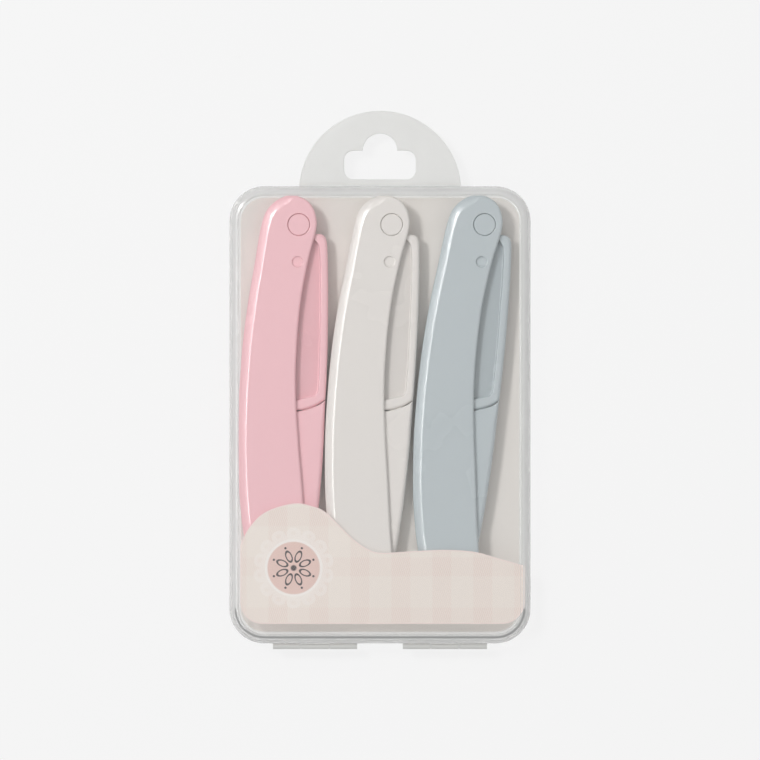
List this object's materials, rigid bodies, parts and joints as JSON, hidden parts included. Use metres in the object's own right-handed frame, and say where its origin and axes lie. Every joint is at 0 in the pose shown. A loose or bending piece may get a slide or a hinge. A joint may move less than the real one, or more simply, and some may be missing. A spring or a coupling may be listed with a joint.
{
  "type": "folding eyebrow razor set in a hinged case",
  "caption": "Clear hinged case with a euro-hole hang tab holding folding eyebrow razors side by side, each with a curved slotted grip, a pivoting arm and a pull-off blade cap.",
  "frame": {"origin": "middle of the footprint, on the back of the case, which lies on its back", "axes": "+X to the right of the case seen from the front, +Y towards the hang tab, +Z out of the case's front"},
  "size_m": [0.075, 0.1344, 0.0093],
  "materials": {
    "clear_plastic": "clear moulded tray, slightly milky",
    "lid_plastic": "clear glossy moulded lid",
    "frosted_plastic": "frosted translucent sheet",
    "back_card": "plain matt card",
    "printed_card": "matt card with a faint woven check print",
    "steel": "bright steel",
    "pink_plastic": "satin moulded plastic",
    "white_plastic": "satin moulded plastic",
    "blue_plastic": "satin moulded plastic"
  },
  "bodies": {
    "case": {"case_base": "clear_plastic", "hang_tab": "frosted_plastic", "hinge_pin_left": "steel", "hinge_pin_right": "steel", "backing_card": "back_card"},
    "lid": {"case_lid": "lid_plastic", "front_card": "printed_card"},
    "pink_razor": {"pink_handle": "pink_plastic", "pink_pivot_pin": "pink_plastic", "pink_stop_pin": "pink_plastic"},
    "pink_blade_arm": {"pink_arm": "pink_plastic", "pink_blade": "steel"},
    "pink_blade_cap": {"pink_cap": "pink_plastic"},
    "white_razor": {"white_handle": "white_plastic", "white_pivot_pin": "white_plastic", "white_stop_pin": "white_plastic"},
    "white_blade_arm": {"white_arm": "white_plastic", "white_blade": "steel"},
    "white_blade_cap": {"white_cap": "white_plastic"},
    "blue_razor": {"blue_handle": "blue_plastic", "blue_pivot_pin": "blue_plastic", "blue_stop_pin": "blue_plastic"},
    "blue_blade_arm": {"blue_arm": "blue_plastic", "blue_blade": "steel"},
    "blue_blade_cap": {"blue_cap": "blue_plastic"}
  },
  "joints": [
    {"name": "lid_hinge", "type": "hinge", "parent": "case", "child": "lid", "pos_m": [0, -0.06648, 0.00465], "axis": [1, 0, 0], "range_deg": [0, 180]},
    {"name": "pink_lift", "type": "slide", "parent": "case", "child": "pink_razor", "axis": [0, 0, 1], "range_m": [0, 0.0252]},
    {"name": "pink_fold", "type": "hinge", "parent": "pink_razor", "child": "pink_blade_arm", "pos_m": [-0.02025, 0.03873, 0.0044], "axis": [0, 0, 1], "range_deg": [-1.4, 0.2]},
    {"name": "pink_cap_slide", "type": "slide", "parent": "pink_blade_arm", "child": "pink_blade_cap", "axis": [-0.0349, -0.9994, 0], "range_m": [0, 0.006]},
    {"name": "white_lift", "type": "slide", "parent": "case", "child": "white_razor", "axis": [0, 0, 1], "range_m": [0, 0.0252]},
    {"name": "white_fold", "type": "hinge", "parent": "white_razor", "child": "white_blade_arm", "pos_m": [0.0029, 0.03873, 0.0044], "axis": [0, 0, 1], "range_deg": [-1.2, 0.6]},
    {"name": "white_cap_slide", "type": "slide", "parent": "white_blade_arm", "child": "white_blade_cap", "axis": [-0.0645, -0.9979, 0], "range_m": [0, 0.006]},
    {"name": "blue_lift", "type": "slide", "parent": "case", "child": "blue_razor", "axis": [0, 0, 1], "range_m": [0, 0.0252]},
    {"name": "blue_fold", "type": "hinge", "parent": "blue_razor", "child": "blue_blade_arm", "pos_m": [0.02605, 0.03873, 0.0044], "axis": [0, 0, 1], "range_deg": [-0.4, 6.5]},
    {"name": "blue_cap_slide", "type": "slide", "parent": "blue_blade_arm", "child": "blue_blade_cap", "axis": [-0.1028, -0.9947, 0], "range_m": [0, 0.006]}
  ],
  "couplings": [
    {"joint": "pink_lift", "follows": "lid_hinge", "m_per_rad": 0.008},
    {"joint": "white_lift", "follows": "lid_hinge", "m_per_rad": 0.008},
    {"joint": "blue_lift", "follows": "lid_hinge", "m_per_rad": 0.008}
  ]
}
